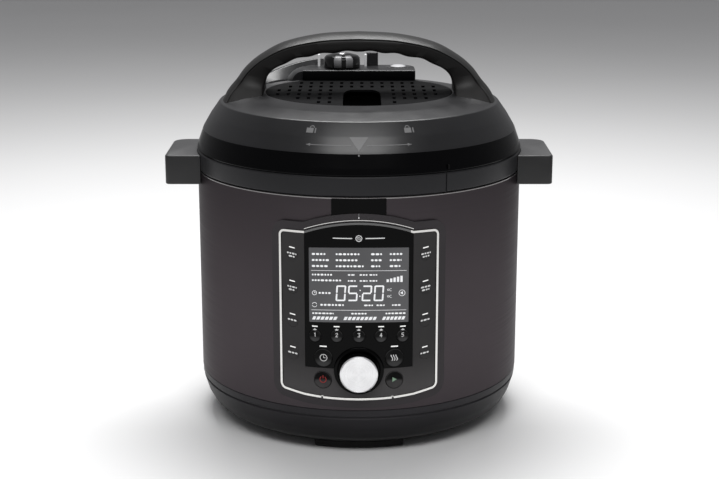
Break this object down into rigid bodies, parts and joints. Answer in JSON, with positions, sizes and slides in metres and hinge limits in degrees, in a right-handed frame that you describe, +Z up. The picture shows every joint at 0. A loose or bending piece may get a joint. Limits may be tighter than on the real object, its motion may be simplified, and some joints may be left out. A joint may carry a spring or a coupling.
{
  "type": "electric pressure cooker",
  "caption": "Free-standing electric pressure cooker: drum-shaped heated base with a front control panel and dial, lift-out pot, and a turn-and-lock lid with an arched handle.",
  "frame": {"origin": "centre of the bounding box's footprint, on the rest plane under the feet; the vessel's upright axis is 6.5 mm towards the front from it", "axes": "+Z up along the vessel, control panel and dial face -Y, side handles along X"},
  "size_m": [0.323, 0.313, 0.3267],
  "materials": {
    "dark_steel": "dark brushed, thin clear coat",
    "bright_steel": "drawn and satin",
    "aluminium": "machined",
    "black_plastic": "fine moulded grain",
    "gloss_black": "polished",
    "grey_plastic": "satin film",
    "silver": "spun, clear anodised",
    "silicone": "matte silicone",
    "rubber": "matte",
    "board": "coated circuit board",
    "clear_plastic": "clear moulding"
  },
  "bodies": {
    "base": {"outer_shell": "dark_steel", "upper_collar": "black_plastic", "side_handle_left": "black_plastic", "side_handle_right": "black_plastic", "base_ring": "black_plastic", "bottom_cover": "grey_plastic", "foot_front": "rubber", "foot_right": "rubber", "foot_rear": "rubber", "foot_left": "rubber", "power_board": "board", "power_inlet": "black_plastic", "inner_housing": "bright_steel", "heating_plate": "aluminium", "sensor_spring": "bright_steel", "control_bezel": "black_plastic", "panel_trim": "silver", "key_panel": "grey_plastic", "display_glass": "gloss_black", "display_module": "grey_plastic", "control_board": "board", "dial_ring": "black_plastic"},
    "sensor": {"temperature_sensor": "aluminium"},
    "pot": {"inner_pot": "bright_steel"},
    "seal": {"sealing_ring": "silicone", "sealing_ring_rack": "bright_steel"},
    "lid": {"lid_cover": "black_plastic", "lid_plate": "bright_steel", "diffuser_cover": "black_plastic", "steam_housing": "black_plastic", "steam_pipe": "bright_steel", "anti_block_shield": "bright_steel"},
    "release_button": {"quick_release_button": "gloss_black"},
    "steam_valve": {"steam_release_valve": "gloss_black"},
    "float": {"float_valve": "silver", "float_valve_seal": "silicone"},
    "lid_pin": {"locking_pin": "bright_steel"},
    "drip_cup": {"condensation_cup": "clear_plastic"},
    "dial_axle": {"dial_shaft": "bright_steel"},
    "dial": {"dial_knob": "silver"},
    "favourite_key_1_body": {"favourite_key_1": "gloss_black"},
    "favourite_key_2_body": {"favourite_key_2": "gloss_black"},
    "favourite_key_3_body": {"favourite_key_3": "gloss_black"},
    "favourite_key_4_body": {"favourite_key_4": "gloss_black"},
    "favourite_key_5_body": {"favourite_key_5": "gloss_black"},
    "delay_key_body": {"delay_key": "gloss_black"},
    "warm_key_body": {"warm_key": "gloss_black"},
    "cancel_key_body": {"cancel_key": "gloss_black"},
    "start_key_body": {"start_key": "gloss_black"},
    "program_key_left_1_body": {"program_key_left_1": "grey_plastic"},
    "program_key_left_2_body": {"program_key_left_2": "grey_plastic"},
    "program_key_left_3_body": {"program_key_left_3": "grey_plastic"},
    "program_key_left_4_body": {"program_key_left_4": "grey_plastic"},
    "program_key_right_1_body": {"program_key_right_1": "grey_plastic"},
    "program_key_right_2_body": {"program_key_right_2": "grey_plastic"},
    "program_key_right_3_body": {"program_key_right_3": "grey_plastic"},
    "program_key_right_4_body": {"program_key_right_4": "grey_plastic"}
  },
  "joints": [
    {"name": "pot_lift", "type": "slide", "parent": "base", "child": "pot", "axis": [0, 0, 1], "range_m": [0, 0.18]},
    {"name": "lid_lift", "type": "slide", "parent": "pot", "child": "seal", "axis": [0, 0, 1], "range_m": [0, 0.12]},
    {"name": "lid_turn", "type": "hinge", "parent": "seal", "child": "lid", "pos_m": [0, -0.0065, 0.25], "axis": [0, 0, 1], "range_deg": [0, 30]},
    {"name": "release_press", "type": "slide", "parent": "lid", "child": "release_button", "axis": [0, 0, -1], "range_m": [0, 0.002], "stiffness_N_per_m": 600, "springref_m": -0.001},
    {"name": "valve_vent", "type": "slide", "parent": "lid", "child": "steam_valve", "axis": [0, 0, 1], "range_m": [0, 0.003]},
    {"name": "float_rise", "type": "slide", "parent": "lid", "child": "float", "axis": [0, 0, 1], "range_m": [0, 0.004]},
    {"name": "pin_slide", "type": "slide", "parent": "lid", "child": "lid_pin", "axis": [0.5534, -0.8329, 0], "range_m": [0, 0.003]},
    {"name": "cup_slide", "type": "slide", "parent": "base", "child": "drip_cup", "axis": [0, 1, 0], "range_m": [0, 0.03]},
    {"name": "sensor_press", "type": "slide", "parent": "base", "child": "sensor", "axis": [0, 0, -1], "range_m": [0, 0.002], "stiffness_N_per_m": 900, "springref_m": -0.001, "deforming": ["sensor_spring"]},
    {"name": "dial_press", "type": "slide", "parent": "base", "child": "dial_axle", "axis": [0, 1, 0], "range_m": [0, 0.001], "stiffness_N_per_m": 1200},
    {"name": "dial_turn", "type": "hinge", "parent": "dial_axle", "child": "dial", "pos_m": [0, -0.1515, 0.075], "axis": [0, -1, 0], "continuous": true},
    {"name": "favourite_key_1_press", "type": "slide", "parent": "base", "child": "favourite_key_1_body", "axis": [0.2527, 0.9675, 0], "range_m": [0, 0.0006], "stiffness_N_per_m": 1200},
    {"name": "favourite_key_2_press", "type": "slide", "parent": "base", "child": "favourite_key_2_body", "axis": [0.1274, 0.9919, 0], "range_m": [0, 0.0006], "stiffness_N_per_m": 1200},
    {"name": "favourite_key_3_press", "type": "slide", "parent": "base", "child": "favourite_key_3_body", "axis": [0, 1, 0], "range_m": [0, 0.0006], "stiffness_N_per_m": 1200},
    {"name": "favourite_key_4_press", "type": "slide", "parent": "base", "child": "favourite_key_4_body", "axis": [-0.1274, 0.9919, 0], "range_m": [0, 0.0006], "stiffness_N_per_m": 1200},
    {"name": "favourite_key_5_press", "type": "slide", "parent": "base", "child": "favourite_key_5_body", "axis": [-0.2527, 0.9675, 0], "range_m": [0, 0.0006], "stiffness_N_per_m": 1200},
    {"name": "delay_key_press", "type": "slide", "parent": "base", "child": "delay_key_body", "axis": [0.2051, 0.9787, 0], "range_m": [0, 0.0006], "stiffness_N_per_m": 1200},
    {"name": "warm_key_press", "type": "slide", "parent": "base", "child": "warm_key_body", "axis": [-0.2051, 0.9787, 0], "range_m": [0, 0.0006], "stiffness_N_per_m": 1200},
    {"name": "cancel_key_press", "type": "slide", "parent": "base", "child": "cancel_key_body", "axis": [0.2051, 0.9787, 0], "range_m": [0, 0.0006], "stiffness_N_per_m": 1200},
    {"name": "start_key_press", "type": "slide", "parent": "base", "child": "start_key_body", "axis": [-0.2051, 0.9787, 0], "range_m": [0, 0.0006], "stiffness_N_per_m": 1200},
    {"name": "program_key_left_1_press", "type": "slide", "parent": "base", "child": "program_key_left_1_body", "axis": [0.3753, 0.9269, 0], "range_m": [0, 0.0006], "stiffness_N_per_m": 1200},
    {"name": "program_key_left_2_press", "type": "slide", "parent": "base", "child": "program_key_left_2_body", "axis": [0.3753, 0.9269, 0], "range_m": [0, 0.0006], "stiffness_N_per_m": 1200},
    {"name": "program_key_left_3_press", "type": "slide", "parent": "base", "child": "program_key_left_3_body", "axis": [0.3753, 0.9269, 0], "range_m": [0, 0.0006], "stiffness_N_per_m": 1200},
    {"name": "program_key_left_4_press", "type": "slide", "parent": "base", "child": "program_key_left_4_body", "axis": [0.3753, 0.9269, 0], "range_m": [0, 0.0006], "stiffness_N_per_m": 1200},
    {"name": "program_key_right_1_press", "type": "slide", "parent": "base", "child": "program_key_right_1_body", "axis": [-0.3753, 0.9269, 0], "range_m": [0, 0.0006], "stiffness_N_per_m": 1200},
    {"name": "program_key_right_2_press", "type": "slide", "parent": "base", "child": "program_key_right_2_body", "axis": [-0.3753, 0.9269, 0], "range_m": [0, 0.0006], "stiffness_N_per_m": 1200},
    {"name": "program_key_right_3_press", "type": "slide", "parent": "base", "child": "program_key_right_3_body", "axis": [-0.3753, 0.9269, 0], "range_m": [0, 0.0006], "stiffness_N_per_m": 1200},
    {"name": "program_key_right_4_press", "type": "slide", "parent": "base", "child": "program_key_right_4_body", "axis": [-0.3753, 0.9269, 0], "range_m": [0, 0.0006], "stiffness_N_per_m": 1200}
  ],
  "couplings": [
    {"joint": "valve_vent", "follows": "release_press", "ratio": 1.5}
  ]
}
